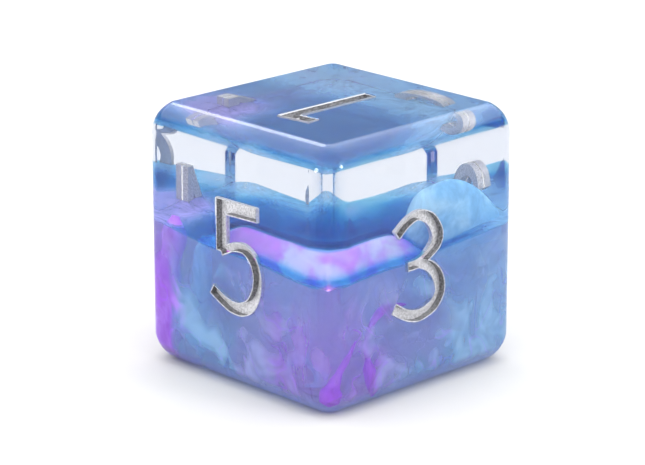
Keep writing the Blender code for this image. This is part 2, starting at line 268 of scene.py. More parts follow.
def combined(mesh, *steps):
    """The mesh after exact Booleans; each step is an operation and the mesh that it works with.

    They run on shapes a thousand times as large, because a die's fine grooves are small beside a metre.
    """
    enlarge = Matrix.Scale(1 / MM, 4)
    mesh.transform(enlarge)
    body = new_object("work", mesh)
    helpers = [body]
    for operation, other in steps:
        other.transform(enlarge)
        helper = new_object("helper", other)
        helpers.append(helper)
        modifier = body.modifiers.new("combine", "BOOLEAN")
        modifier.operation = operation
        modifier.solver = "EXACT"
        modifier.material_mode = "TRANSFER"
        modifier.object = helper
    graph = bpy.context.evaluated_depsgraph_get()
    result = bpy.data.meshes.new_from_object(body.evaluated_get(graph))
    for helper in helpers:
        bpy.data.objects.remove(helper)
    if not result.polygons:
        raise RuntimeError("a Boolean left nothing")
    result.transform(Matrix.Scale(MM, 4))
    return result


def rounded_block(inset, segments=10):
    """The die's outside, pulled in by inset."""
    sizes = bpy.context.scene.die_sizes
    radius = sizes.edge_radius - inset
    shape = bmesh.new()
    bmesh.ops.create_cube(shape, size=SIDE - 2 * inset, matrix=Matrix.Translation(MIDDLE))
    bmesh.ops.bevel(
        shape,
        geom=shape.edges[:],
        offset=radius,
        offset_type="OFFSET",
        segments=segments,
        profile=0.5,
        affect="EDGES",
        material=-1,
    )
    tip = math.sqrt(3) * (HALF - sizes.edge_radius) + radius
    for vert in shape.verts:
        out = vert.co - MIDDLE
        pull = sizes.corner_trim * smooth_step(tip - 0.55 * MM, tip, out.length)
        vert.co -= out.normalized() * pull
    return finished_mesh(shape, "rounded_block")


def polished_normals(mesh):
    """Flats shade flat and fillets shade as true rounds, so that light bends cleanly through them."""
    core = HALF - bpy.context.scene.die_sizes.edge_radius
    normals = []
    for face in mesh.polygons:
        flat = max(abs(part) for part in face.normal) > 0.9995
        outer = all(
            max(abs(part) for part in mesh.vertices[index].co - MIDDLE) > core + 0.2 * MM
            for index in face.vertices
        )
        face.use_smooth = outer and not flat
        for index in face.vertices:
            out = mesh.vertices[index].co - MIDDLE
            nearest = Vector([max(-core, min(core, part)) for part in out])
            if face.use_smooth and (out - nearest).length > 0:
                normals.append((out - nearest).normalized())
            else:
                normals.append(face.normal.copy())
    mesh.normals_split_custom_set(normals)


def boundary_height(x, y):
    """Height of the boundary: it rises to the back, dips at the front walls and ridges behind them."""
    wave = math.sin(math.tau * (x + y) / WAVE_LENGTH)
    wave += math.cos(math.tau * (y - x) / WAVE_LENGTH + WAVE_PHASE)
    inwards = max(0.0, min(HALF - x, HALF + y))
    front = smooth_step(-3.5 * MM, 0.5 * MM, x) * smooth_step(1.5 * MM, -2.5 * MM, y)
    ridge = smooth_step(0.2 * MM, 2.1 * MM, inwards) * smooth_step(5.2 * MM, 2.4 * MM, inwards)
    dip = smooth_step(1.2 * MM, 0.0, inwards)
    return (
        BOUNDARY
        + RISE * (y - x) / (2 * SIDE)
        + WAVE_HEIGHT * wave
        + front * (RIDGE * ridge - DIP * dip)
    )


def film_half(x, y):
    """Half the film's thickness: full in the middle, thin at the back walls and down the front slope."""
    full = bpy.context.scene.die_sizes.film_thickness / 2
    drift = 1 + FILM_DRIFT * noise.noise(Vector((x, y, 0)) / (2.4 * MM))
    left = LEFT_FILM + (1 - LEFT_FILM) * smooth_step(-6.5 * MM, -2.5 * MM, x)
    back = BACK_FILM + (1 - BACK_FILM) * smooth_step(7.0 * MM, 4.0 * MM, y)
    inwards = max(0.0, min(HALF - x, HALF + y))
    slope = smooth_step(0.4 * MM, 0.8 * MM, inwards) * smooth_step(2.3 * MM, 1.8 * MM, inwards)
    front = smooth_step(-3.5 * MM, 0.0, x) * smooth_step(1.5 * MM, -2.0 * MM, y)
    rim = RIM_GAIN * front * smooth_step(0.5 * MM, 0.1 * MM, inwards)
    return full * drift * left * back * (1 - SLOPE_LOSS * slope * front + rim)


def ribbon_cover(x, y):
    """How fully the ribbon covers the underside of the film: on the slope behind the two front walls."""
    inwards = min(HALF - x, HALF + y)
    slope = smooth_step(2.7 * MM, 2.0 * MM, inwards) * smooth_step(0.3 * MM, 0.7 * MM, inwards)
    front = smooth_step(-4.0 * MM, -1.5 * MM, x) * smooth_step(1.5 * MM, -1.0 * MM, y)
    return slope * front


def layer_block(low, high, cells=72):
    """A block a little wider than the die, between two heights, each a function of x and y."""
    shape = bmesh.new()
    bmesh.ops.create_grid(shape, x_segments=cells, y_segments=cells, size=HALF + 0.8 * MM)
    bmesh.ops.triangulate(shape, faces=shape.faces[:])
    lower = shape.verts[:]
    raised = bmesh.ops.extrude_face_region(shape, geom=shape.faces[:])
    upper = [item for item in raised["geom"] if isinstance(item, bmesh.types.BMVert)]
    for vert in lower:
        vert.co.z = low(vert.co.x, vert.co.y)
    for vert in upper:
        vert.co.z = high(vert.co.x, vert.co.y)
    return finished_mesh(shape, "layer")


def smooth_step(low, high, value):
    """0 at low and 1 at high, eased at both ends; low may be above high."""
    share = min(1.0, max(0.0, (value - low) / (high - low)))
    return share * share * (3 - 2 * share)


def spline_spot(spots, index, part):
    """The spot a part of the way from one of the points to the next, on a smooth curve through all."""
    before = spots[max(index - 1, 0)]
    first, second = spots[index], spots[index + 1]
    after = spots[min(index + 2, len(spots) - 1)]
    return 0.5 * (
        2 * first
        + (second - before) * part
        + (2 * before - 5 * first + 4 * second - after) * part**2
        + (3 * first - before - 3 * second + after) * part**3
    )


# Numerals: each is a list of strokes, and a stroke is a list of (across, up, width) from the face's
# middle, in millimetres on a numeral of the drawn height


def curved(points, steps=6):
    """A stroke's points joined by a smooth curve."""
    spots = [Vector(point) for point in points]
    made = []
    for index in range(len(spots) - 1):
        made += [tuple(spline_spot(spots, index, step / steps)) for step in range(steps)]
    return made + [tuple(points[-1])]


def one():
    return [[(-2.3, 3.62, 0.9), (-0.45, 3.8, 0.9), (-0.45, -2.85, 0.86)]]


def two():
    bowl = [(-1.75, 2.0, 0.7), (-1.35, 2.75, 0.75), (-0.4, 3.15, 0.7), (0.75, 2.9, 0.8), (1.5, 2.1, 0.95)]
    sweep = [(1.45, 1.1, 0.95), (0.6, -0.4, 0.85), (-0.7, -1.8, 0.8), (-1.9, -3.05, 0.8)]
    return [curved(bowl + sweep), [(-2.1, -3.05, 0.86), (2.1, -3.05, 0.86)]]


def three():
    upper = [(-2.47, 2.02, 0.66), (-1.62, 2.63, 0.62), (-0.7, 2.89, 0.6), (0.25, 2.5, 0.78)]
    upper += [(0.84, 1.6, 0.95), (0.78, 0.95, 0.95), (0.2, 0.42, 0.72), (-0.6, 0.02, 0.62)]
    upper += [(-1.56, -0.05, 0.56)]
    lower = [(-0.9, 0.0, 0.5), (-0.3, -0.12, 0.6), (0.38, -0.48, 0.72), (0.96, -1.2, 0.86)]
    lower += [(1.12, -2.1, 0.86), (0.6, -2.82, 0.84), (-0.3, -3.15, 0.78), (-0.95, -3.15, 0.74)]
    lower += [(-1.75, -2.9, 0.66), (-2.71, -2.31, 0.66)]
    return [curved(upper), curved(lower)]


def four():
    diagonal = [(0.9, 3.15, 0.86), (-2.1, -1.1, 0.86), (2.3, -1.1, 0.86)]
    return [diagonal, [(0.9, 3.36, 0.86), (0.9, -3.36, 0.86)]]


def five():
    bar_and_stem = [(2.06, 3.1, 0.86), (-0.93, 3.05, 0.92), (-0.93, 0.3, 0.96)]
    bowl = [(-1.0, 0.28, 0.5), (-0.55, 0.5, 0.5), (0.02, 0.76, 0.52), (0.9, 0.85, 0.6), (1.65, 0.42, 0.68)]
    bowl += [(2.06, -0.45, 0.74), (2.0, -1.5, 0.78), (1.5, -2.42, 0.82), (0.7, -2.88, 0.82)]
    bowl += [(-0.2, -2.88, 0.78), (-1.0, -2.6, 0.72), (-1.84, -2.17, 0.68)]
    return [bar_and_stem, curved(bowl)]


def six():
    ring = []
    for step in range(49):
        angle = math.pi - math.tau * step / 48
        ring.append((1.78 * math.cos(angle), -1.2 + 1.85 * math.sin(angle), 0.86))
    tail = [(-1.78, -1.2, 0.86), (-1.7, 0.2, 0.86), (-1.2, 1.7, 0.84), (-0.3, 2.75, 0.8), (0.7, 3.35, 0.76)]
    return [ring, curved(tail)]


FACES = {
    "one": (one, Vector((0, 0, 1)), Vector((0, -1, 0))),
    "two": (two, Vector((0, 1, 0)), Vector((0, 0, 1))),
    "three": (three, Vector((1, 0, 0)), Vector((0, 0, 1))),
    "four": (four, Vector((-1, 0, 0)), Vector((0, 0, 1))),
    "five": (five, Vector((0, -1, 0)), Vector((0, 0, 1))),
    "six": (six, Vector((0, 0, -1)), Vector((-1, 0, 0))),
}


def face_frame(name):
    """Matrix from a numeral's own axes (across, up, out of the face) to the die."""
    looks, up = FACES[name][1:]
    turn = Matrix((up.cross(looks), up, looks)).transposed().to_4x4()
    return Matrix.Translation(MIDDLE + looks * HALF) @ turn


def stroke_sides(points, grow):
    """The two sides of a stroke, mitred at its corners; a stroke whose ends meet is a ring."""
    share = bpy.context.scene.die_sizes.numeral_height / DRAWN_HEIGHT
    spots = [Vector(point[:2]) * share for point in points]
    ring = (spots[0] - spots[-1]).length < 0.01 * share
    count = len(spots) - ring
    left, right = [], []
    for index in range(count):
        spot = spots[index]
        before = spots[(index - 1) % count] if ring or index else None
        after = spots[(index + 1) % count] if ring or index < count - 1 else None
        arriving = (spot - before).normalized() if before else None
        leaving = (after - spot).normalized() if after else None
        heading = ((arriving or leaving) + (leaving or arriving)).normalized()
        reach = (share * points[index][2] / 2 + grow) / heading.dot(leaving or arriving)
        push = grow * ((not after) - (not before))
        square = Vector((-heading.y, heading.x)) * reach
        left.append(spot + heading * push + square)
        right.append(spot + heading * push - square)
    if ring:
        left.append(left[0])
        right.append(right[0])
    return left, right


def numeral_prism(name, grow, low, high):
    """A numeral's area, with its strokes widened all round, drawn out between two depths from its face."""
    height = bpy.context.scene.die_sizes.numeral_height
    corners, pieces = [], []
    for points in FACES[name][0]():
        left, right = stroke_sides(points, grow)
        for index in range(len(left) - 1):
            pieces.append([len(corners) + step for step in range(4)])
            corners += [left[index], right[index], right[index + 1], left[index + 1]]
    found = delaunay_2d_cdt([corner / height for corner in corners], [], pieces, 1, 1e-5)
    shape = bmesh.new()
    verts = [shape.verts.new((spot.x * height, spot.y * height, low)) for spot in found[0]]
    for face, sources in zip(found[2], found[5]):
        if sources:
            shape.faces.new([verts[index] for index in face])
    bmesh.ops.delete(shape, geom=[vert for vert in verts if not vert.link_faces], context="VERTS")
    raised = bmesh.ops.extrude_face_region(shape, geom=shape.faces[:], use_keep_orig=True)["geom"]
    for item in raised:
        if isinstance(item, bmesh.types.BMVert):
            item.co.z = high
    bmesh.ops.transform(shape, matrix=face_frame(name), verts=shape.verts)
    return finished_mesh(shape, f"prism_{name}", smooth=False)


# Pours and ink bodies


def inner_pour(region, numerals):
    """The part of the die inside a region, just under its surface and clear of the numerals it meets."""
    cuts = [("INTERSECT", region)]
    for name in numerals:
        cuts.append(("DIFFERENCE", numeral_prism(name, SKIN, -GROOVE_DEPTH - SKIN, OVERCUT)))
    mesh = combined(rounded_block(SKIN, 8), *cuts)
    mesh.shade_smooth()
    return mesh


def drawn_tube(name, route, radius, steps=40, sides=24):
    """A round body drawn along a route; route and radius are functions of the share along it."""
    shape = bmesh.new()
    ring = bmesh.ops.create_circle(shape, cap_ends=False, segments=sides, radius=1.0)["verts"]
    edges = shape.edges[:]
    placed = Matrix.Identity(4)
    for step in range(steps + 1):
        share = step / steps
        if step:
            grown = bmesh.ops.extrude_edge_only(shape, edges=edges)["geom"]
            ring = [item for item in grown if isinstance(item, bmesh.types.BMVert)]
            edges = [
                item
                for item in grown
                if isinstance(item, bmesh.types.BMEdge) and all(vert in ring for vert in item.verts)
            ]
        ahead = route(share + 0.01) - route(share - 0.01)
        turn = ahead.to_track_quat("Z", "Y").to_matrix().to_4x4()
        target = Matrix.Translation(route(share)) @ turn @ Matrix.Scale(radius(share), 4)
        bmesh.ops.transform(shape, matrix=target @ placed.inverted(), verts=ring)
        placed = target
    bmesh.ops.holes_fill(shape, edges=[edge for edge in shape.edges if edge.is_boundary], sides=0)
    return finished_mesh(shape, name)


def bent_route(points):
    """A smooth route through points, by cubic steps between them."""
    spots = [Vector(point) * MM for point in points]

    def at(share):
        place = min(max(share, 0.0), 1.0) * (len(spots) - 1)
        index = min(int(place), len(spots) - 2)
        spot = spline_spot(spots, index, place - index)
        if share < 0:
            spot += (spots[1] - spots[0]) * share
        if share > 1:
            spot += (spots[-1] - spots[-2]) * (share - 1)
        return spot

    return at


def graded(values):
    """A smooth radius through values in millimetres."""

    def at(share):
        place = share * (len(values) - 1)
        index = min(int(place), len(values) - 2)
        part = smooth_step(0, 1, place - index)
        return max((values[index] * (1 - part) + values[index + 1] * part) * MM, 0.02 * MM)

    return at


# Finishes


def new_group(name, inputs, outputs):
    """A shader node group with float or vector inputs and float outputs, or the one made before."""
    group = bpy.data.node_groups.get(name)
    if group:
        return group, None, None
    group = bpy.data.node_groups.new(name, "ShaderNodeTree")
    for label, kind, value in inputs:
        socket = group.interface.new_socket(label, in_out="INPUT", socket_type=kind)
        if value is not None:
            socket.default_value = value
    for label, kind in outputs:
        group.interface.new_socket(label, in_out="OUTPUT", socket_type=kind)
    return group, group.nodes.new("NodeGroupInput"), group.nodes.new("NodeGroupOutput")


def node(tree, kind, settings=None, inputs=None):
    made = tree.nodes.new(kind)
    for key, value in (settings or {}).items():
        setattr(made, key, value)
    for key, value in (inputs or {}).items():
        if isinstance(value, bpy.types.NodeSocket):
            tree.links.new(value, made.inputs[key])
        else:
            made.inputs[key].default_value = value
    return made


def cloudy(tree, vector, scale, detail, roughness=0.5):
    return node(
        tree,
        "ShaderNodeTexNoise",
        None,
        {"Vector": vector, "Scale": scale, "Detail": detail, "Roughness": roughness},
    )


def swirl_group():
    """Drifting clouds and fine threads of ink, as stirred resin leaves them."""
    group, given, result = new_group(
        "ink_swirls",
        [
            ("Vector", "NodeSocketVector", None),
            ("Warp", "NodeSocketFloat", 1.0),
            ("Low", "NodeSocketFloat", 0.4),
            ("High", "NodeSocketFloat", 0.62),
            ("Thread", "NodeSocketFloat", 0.03),
        ],
        [("Cloud", "NodeSocketFloat"), ("Threads", "NodeSocketFloat"), ("Mottle", "NodeSocketFloat")],
    )
    if given is None:
        return group
    spot = given.outputs["Vector"]
    bend = cloudy(group, spot, 0.55, 2.0)
    centred = node(
        group,
        "ShaderNodeVectorMath",
        {"operation": "SUBTRACT"},
        {0: bend.outputs["Color"], 1: (0.5, 0.5, 0.5)},
    )
    scaled = node(
        group,
        "ShaderNodeVectorMath",
        {"operation": "SCALE"},
        {0: centred.outputs[0], "Scale": given.outputs["Warp"]},
    )
    moved = node(group, "ShaderNodeVectorMath", {"operation": "ADD"}, {0: spot, 1: scaled.outputs[0]})
    cloud = cloudy(group, moved.outputs[0], 0.8, 3.0, 0.5)
    spread = span(group, cloud.outputs["Fac"], given.outputs["Low"], given.outputs["High"])
    group.links.new(spread, result.inputs["Cloud"])
    fine = cloudy(group, moved.outputs[0], 1.1, 1.5, 0.4)
    away = maths(group, "ABSOLUTE", maths(group, "SUBTRACT", fine.outputs["Fac"], 0.5))
    ridge = node(
        group,
        "ShaderNodeMapRange",
        {"interpolation_type": "SMOOTHSTEP"},
        {"Value": away, "From Max": given.outputs["Thread"], "To Min": 1.0, "To Max": 0.0},
    )
    group.links.new(ridge.outputs[0], result.inputs["Threads"])
    mottle = cloudy(group, moved.outputs[0], 3.2, 4.0, 0.6)
    group.links.new(mottle.outputs["Fac"], result.inputs["Mottle"])
    return group


def grain_group():
    """Fine grain of paint flakes: a height and a speckle."""
    group, given, result = new_group(
        "flake_grain",
        [("Vector", "NodeSocketVector", None), ("Size", "NodeSocketFloat", 12.0)],
        [("Height", "NodeSocketFloat"), ("Speckle", "NodeSocketFloat"), ("Blotch", "NodeSocketFloat")],
    )
    if given is None:
        return group
    spot, size = given.outputs["Vector"], given.outputs["Size"]
    flakes = node(group, "ShaderNodeTexVoronoi", None, {"Vector": spot, "Scale": size})
    group.links.new(flakes.outputs["Distance"], result.inputs["Height"])
    group.links.new(cloudy(group, spot, size, 3.0).outputs["Fac"], result.inputs["Speckle"])
    group.links.new(cloudy(group, spot, 1.6, 3.0).outputs["Fac"], result.inputs["Blotch"])
    return group


def new_surface(name):
    surface = bpy.data.materials.new(name)
    surface.use_nodes = True
    return surface, surface.node_tree, surface.node_tree.nodes["Principled BSDF"]


def in_millimetres(tree, scale=(1, 1, 1), place=(0, 0, 0)):
    """The piece's own coordinates, in millimetres, stretched and moved."""
    spot = node(tree, "ShaderNodeTexCoord")
    return node(
        tree,
        "ShaderNodeMapping",
        None,
        {"Vector": spot.outputs["Object"], "Scale": [part / MM for part in scale], "Location": place},
    ).outputs[0]


def blend(tree, share, first, second):
    made = node(tree, "ShaderNodeMix", {"data_type": "RGBA"})
    for index, value in ((0, share), (6, first), (7, second)):
        if isinstance(value, bpy.types.NodeSocket):
            tree.links.new(value, made.inputs[index])
        elif index:
            made.inputs[index].default_value = (*value, 1)
        else:
            made.inputs[index].default_value = value
    return made.outputs[2]


def maths(tree, operation, first, second=0.0):
    return node(tree, "ShaderNodeMath", {"operation": operation}, {0: first, 1: second}).outputs[0]


def span(tree, value, low, high):
    """0 at low and 1 at high, eased."""
    return node(
        tree,
        "ShaderNodeMapRange",
        {"interpolation_type": "SMOOTHSTEP"},
        {"Value": value, "From Min": low, "From Max": high},
    ).outputs[0]


def swirls(tree, vector, warp, low, high, thread):
    made = node(
        tree,
        "ShaderNodeGroup",
        {"node_tree": swirl_group()},
        {"Vector": vector, "Warp": warp, "Low": low, "High": high, "Thread": thread},
    )
    return made.outputs


def absorbing(tree, colour, density):
    """Fills the inside with colour that deepens with the light's way through it."""
    inside = node(tree, "ShaderNodeVolumeAbsorption", None, {"Color": (*colour, 1), "Density": density})
    tree.links.new(inside.outputs[0], tree.nodes["Material Output"].inputs["Volume"])


def set_in_resin(shader):
    """A surface inside the resin has no gloss of its own."""
    shader.inputs["Roughness"].default_value = 0.9
    shader.inputs["Specular IOR Level"].default_value = 0.0


def flake_grain(tree, size):
    return node(
        tree,
        "ShaderNodeGroup",
        {"node_tree": grain_group()},
        {"Vector": in_millimetres(tree), "Size": size},
    ).outputs


def polished_resin():
    surface, tree, shader = new_surface("polished_clear_resin")
    shader.inputs["Transmission Weight"].default_value = 1.0
    shader.inputs["IOR"].default_value = 1.5
    shader.inputs["Base Color"].default_value = (1, 1, 1, 1)
    rough = node(
        tree,
        "ShaderNodeMapRange",
        None,
        {"Value": flake_grain(tree, 3.0)["Blotch"], "From Min": 0.4, "From Max": 0.8, "To Max": 0.03},
    )
    tree.links.new(rough.outputs[0], shader.inputs["Roughness"])
    absorbing(tree, (0.0, 0.12, 0.36), 22.0)
    return surface


def milky_resin():
    """Soft blue, lavender and white swirls that thin out to cloudy tinted resin."""
    colours = bpy.context.scene.die_colours
    surface, tree, shader = new_surface("milky_swirled_resin")
    drift = swirls(tree, in_millimetres(tree, (0.32, 0.32, 0.2)), 1.4, 0.40, 0.60, 0.03)
    wisp = swirls(tree, in_millimetres(tree, (0.42, 0.42, 0.34), (3.1, 7.4, 1.3)), 3.4, 0.42, 0.66, 0.03)
    place = node(tree, "ShaderNodeSeparateXYZ", None, {0: in_millimetres(tree)})
    forwards = maths(tree, "SUBTRACT", place.outputs["X"], place.outputs["Y"])
    moved = maths(tree, "ADD", forwards, maths(tree, "MULTIPLY", drift["Cloud"], 3.0))
    base = blend(tree, span(tree, moved, 8.0, 12.0), colours.milk_blue, colours.milk_lavender)
    violet = blend(tree, maths(tree, "MULTIPLY", span(tree, moved, 12.5, 15.5), 0.85), base, colours.purple)
    sideways = maths(tree, "SUBTRACT", place.outputs["X"], maths(tree, "MULTIPLY", wisp["Cloud"], 0.9))
    plume = span(tree, sideways, -4.8, -5.8)
    purple = blend(tree, maths(tree, "MULTIPLY", plume, 0.95), violet, colours.purple)
    pale = blend(tree, maths(tree, "MULTIPLY", wisp["Cloud"], 0.28), purple, colours.milk_white)
    veined = blend(tree, maths(tree, "MULTIPLY", wisp["Threads"], 0.35), pale, colours.purple)
    tree.links.new(veined, shader.inputs["Base Color"])
    some = maths(tree, "MULTIPLY", wisp["Cloud"], 0.4)
    more = maths(tree, "ADD", some, maths(tree, "MULTIPLY", wisp["Threads"], 0.15))
    whole = maths(tree, "ADD", more, maths(tree, "ADD", maths(tree, "MULTIPLY", plume, 0.5), 0.22))
    faces = node(tree, "ShaderNodeNewGeometry")
    parts = node(tree, "ShaderNodeSeparateXYZ", None, {0: faces.outputs["Normal"]})
    upright = node(
        tree,
        "ShaderNodeMapRange",
        None,
        {
            "Value": maths(tree, "ABSOLUTE", parts.outputs["Z"]),
            "From Min": 0.3,
            "From Max": 0.8,
            "To Min": 1.0,
            "To Max": 0.0,
        },
    )
    tree.links.new(maths(tree, "MULTIPLY", whole, upright.outputs[0]), shader.inputs["Alpha"])
    set_in_resin(shader)
    tint = node(tree, "ShaderNodeVolumeAbsorption", None, {"Color": (0.0, 0.30, 1.0, 1), "Density": 64.0})
    milk = node(tree, "ShaderNodeVolumeScatter", None, {"Color": (1.0, 1.0, 1.0, 1), "Density": 150.0})
    both = node(tree, "ShaderNodeAddShader", None, {0: tint.outputs[0], 1: milk.outputs[0]})
    tree.links.new(both.outputs[0], tree.nodes["Material Output"].inputs["Volume"])
    return surface


def ink_surface(name, body, light, absorbed, density, cover, stretch, fade=(-2.0, -1.0)):
    """Ink set in resin: streaky, with its depth of colour from its thickness; it thins away down fade."""
    surface, tree, shader = new_surface(name)
    streak = swirls(tree, in_millimetres(tree, stretch), 2.0, 0.38, 0.66, 0.05)
    mixed = blend(tree, streak["Cloud"], body, light)
    speckled = blend(tree, maths(tree, "MULTIPLY", streak["Mottle"], 0.4), mixed, light)
    tree.links.new(speckled, shader.inputs["Base Color"])
    hold = maths(tree, "ADD", maths(tree, "MULTIPLY", streak["Mottle"], cover), cover * 0.5)
    place = node(tree, "ShaderNodeSeparateXYZ", None, {0: in_millimetres(tree)})
    shown = maths(tree, "MULTIPLY", hold, span(tree, place.outputs["Z"], *fade))
    tree.links.new(shown, shader.inputs["Alpha"])
    set_in_resin(shader)
    absorbing(tree, absorbed, density)
    return surface


def cerulean_film():
    """Blue ink film: deep in the middle, its skin pale and milky at the back and violet at the left."""
    surface, tree, shader = new_surface("cerulean_ink_film")
    streak = swirls(tree, in_millimetres(tree, (0.35, 0.35, 0.35)), 2.0, 0.38, 0.66, 0.05)
    place = node(tree, "ShaderNodeSeparateXYZ", None, {0: in_millimetres(tree)})
    back = span(tree, place.outputs["Y"], 2.5, 6.5)
    beside = span(tree, place.outputs["X"], -3.5, -6.5)
    left = maths(tree, "MULTIPLY", beside, span(tree, place.outputs["Y"], 3.0, -1.0))
    body = blend(tree, streak["Cloud"], (0.02, 0.44, 0.84), (0.16, 0.62, 0.95))
    skin = blend(tree, back, body, (0.38, 0.72, 1.0))
    tree.links.new(blend(tree, left, skin, (0.58, 0.50, 1.0)), shader.inputs["Base Color"])
    skinned = maths(tree, "MAXIMUM", back, left)
    hold = maths(tree, "MULTIPLY", skinned, maths(tree, "MULTIPLY", streak["Mottle"], 0.75))
    shown = maths(tree, "ADD", hold, maths(tree, "MULTIPLY", streak["Mottle"], 0.14))
    tree.links.new(shown, shader.inputs["Alpha"])
    set_in_resin(shader)
    absorbing(tree, (0.0, 0.76, 0.93), 4400)
    return surface


def silver_paint(name, bright, dark):
    """Silver paint whose flakes run between two shares of the silver's brightness; low shares make a darker
    copy that stands as painted shade.
    """
    silver = bpy.context.scene.die_colours.silver
    surface, tree, shader = new_surface(name)
    grain = flake_grain(tree, 9.0)
    speck = node(
        tree,
        "ShaderNodeMapRange",
        None,
        {"Value": grain["Speckle"], "From Min": 0.36, "From Max": 0.62},
    )
    low, high = ([part * share for part in silver] for share in (dark, bright))
    tree.links.new(blend(tree, speck.outputs[0], low, high), shader.inputs["Base Color"])
    shader.inputs["Metallic"].default_value = 0.55
    rough = node(tree, "ShaderNodeMapRange", None, {"Value": grain["Blotch"], "To Min": 0.35, "To Max": 0.65})
    tree.links.new(rough.outputs[0], shader.inputs["Roughness"])
    bump = node(
        tree,
        "ShaderNodeBump",
        None,
        {"Height": grain["Height"], "Strength": 0.5, "Distance": 0.03 * MM},
    )
    tree.links.new(bump.outputs[0], shader.inputs["Normal"])
    return surface


# Studio


def add_table():
    """A wide, faintly mottled pale table just under the die."""
    shape = bmesh.new()
    under = Matrix.Translation((0, 0, cad_low.z - 0.01 * MM))
    bmesh.ops.create_grid(shape, x_segments=2, y_segments=2, size=3.0, matrix=under)
    surface, tree, shader = new_surface("white_table")
    dust = cloudy(tree, in_millimetres(tree), 0.4, 4.0)
    low, high = TABLE_TONES
    tone = node(
        tree, "ShaderNodeMapRange", None, {"Value": dust.outputs["Fac"], "To Min": low, "To Max": high}
    )
    shade = node(tree, "ShaderNodeCombineColor", None, {part: tone.outputs[0] for part in range(3)})
    tree.links.new(shade.outputs[0], shader.inputs["Base Color"])
    shader.inputs["Roughness"].default_value = 0.9
    shader.inputs["Specular IOR Level"].default_value = 0.1
    new_object("floor", finished_mesh(shape, "floor", smooth=False), surface)


def pale_room():
    """A white room whose ceiling is much brighter than its walls."""
    world = bpy.data.worlds.new("white_room")
    world.use_nodes = True
    room = world.node_tree
    way = node(room, "ShaderNodeTexCoord")
    parts = node(room, "ShaderNodeSeparateXYZ", None, {0: way.outputs["Generated"]})
    above = node(
        room,
        "ShaderNodeMapRange",
        {"interpolation_type": "SMOOTHSTEP"},
        {
            "Value": parts.outputs["Z"],
            "From Min": ROOM_HEIGHTS[0],
            "From Max": ROOM_HEIGHTS[1],
            "To Min": ROOM_LEVELS[0],
            "To Max": ROOM_LEVELS[1],
        },
    )
    room.links.new(above.outputs[0], room.nodes["Background"].inputs["Strength"])
    room.nodes["Background"].inputs["Color"].default_value = (1, 1, 1, 1)
    return world


def add_softboxes(scene):
    """Three small round softboxes, each with its direction from the die, its size and its power."""
    full = scene.die_studio.softbox_power
    lamps = [
        ("left_softbox", (-0.167, -0.969, 0.176), 0.10, full),
        ("right_softbox", (0.88, 0.259, 0.40), 0.09, full),
        ("back_softbox", (-0.683, 0.426, 0.594), 0.08, full / 8),
    ]
    for name, way_to, size, power in lamps:
        light = bpy.data.lights.new(name, "AREA")
        light.shape = "DISK"
        light.size = size
        light.energy = power
        lamp = bpy.data.objects.new(name, light)
        scene.collection.objects.link(lamp)
        lamp.location = MIDDLE + Vector(way_to) * LAMP_DISTANCE
        lamp.rotation_euler = Vector(way_to).to_track_quat("Z", "Y").to_euler()


def add_camera(scene):
    """The camera, looking down at the front upright edge."""
    settings = scene.die_studio
    back = Vector(
        (
            math.sin(settings.azimuth) * math.cos(settings.elevation),
            -math.cos(settings.azimuth) * math.cos(settings.elevation),
            math.sin(settings.elevation),
        )
    )
    data = bpy.data.cameras.new("camera")
    camera = bpy.data.objects.new("camera", data)
    scene.collection.objects.link(camera)
    camera.location = MIDDLE + back * settings.distance
    camera.rotation_euler = back.to_track_quat("Z", "Y").to_euler()
    data.sensor_width = 36
    data.lens = settings.lens
    data.shift_x = settings.shift_x
    data.shift_y = settings.shift_y
    data.clip_start = 1 * MM
    return camera


# Operators


class DIE_OT_resin_block(bpy.types.Operator):
    """Cast the clear block with rounded edges and cut the numerals into it"""

    bl_idname = "die.resin_block"
    bl_label = "Clear Resin Block"

    def execute(self, context):
        cuts = [("DIFFERENCE", numeral_prism(name, 0.0, -GROOVE_DEPTH, OVERCUT)) for name in FACES]
        mesh = combined(rounded_block(0.0, 12), *cuts)
        polished_normals(mesh)
        add_piece("resin_block", mesh, "clear_resin", "clear_upper_pour", polished_resin())
        return {"FINISHED"}


class DIE_OT_milky_pour(bpy.types.Operator):
    """Cast the milky swirled lower pour"""

    bl_idname = "die.milky_pour"
    bl_label = "Milky Lower Pour"

    def execute(self, context):
        region = layer_block(
            lambda x, y: -1 * MM,
            lambda x, y: boundary_height(x, y) - film_half(x, y) - 0.01 * MM,
        )
        mesh = inner_pour(region, ("two", "three", "four", "five", "six"))
        add_piece("milky_pour", mesh, "tinted_resin", "tinted_lower_pour", milky_resin())
        return {"FINISHED"}


class DIE_OT_ink_film(bpy.types.Operator):
    """Float the blue ink film between the pours"""

    bl_idname = "die.ink_film"
    bl_label = "Blue Ink Film"

    def execute(self, context):
        slab = layer_block(
            lambda x, y: boundary_height(x, y) - film_half(x, y),
            lambda x, y: boundary_height(x, y) + film_half(x, y),
        )
        mesh = inner_pour(slab, ("two", "three", "four", "five"))
        add_piece("ink_film", mesh, "blue_ink", "blue_ink_film", cerulean_film())
        return {"FINISHED"}


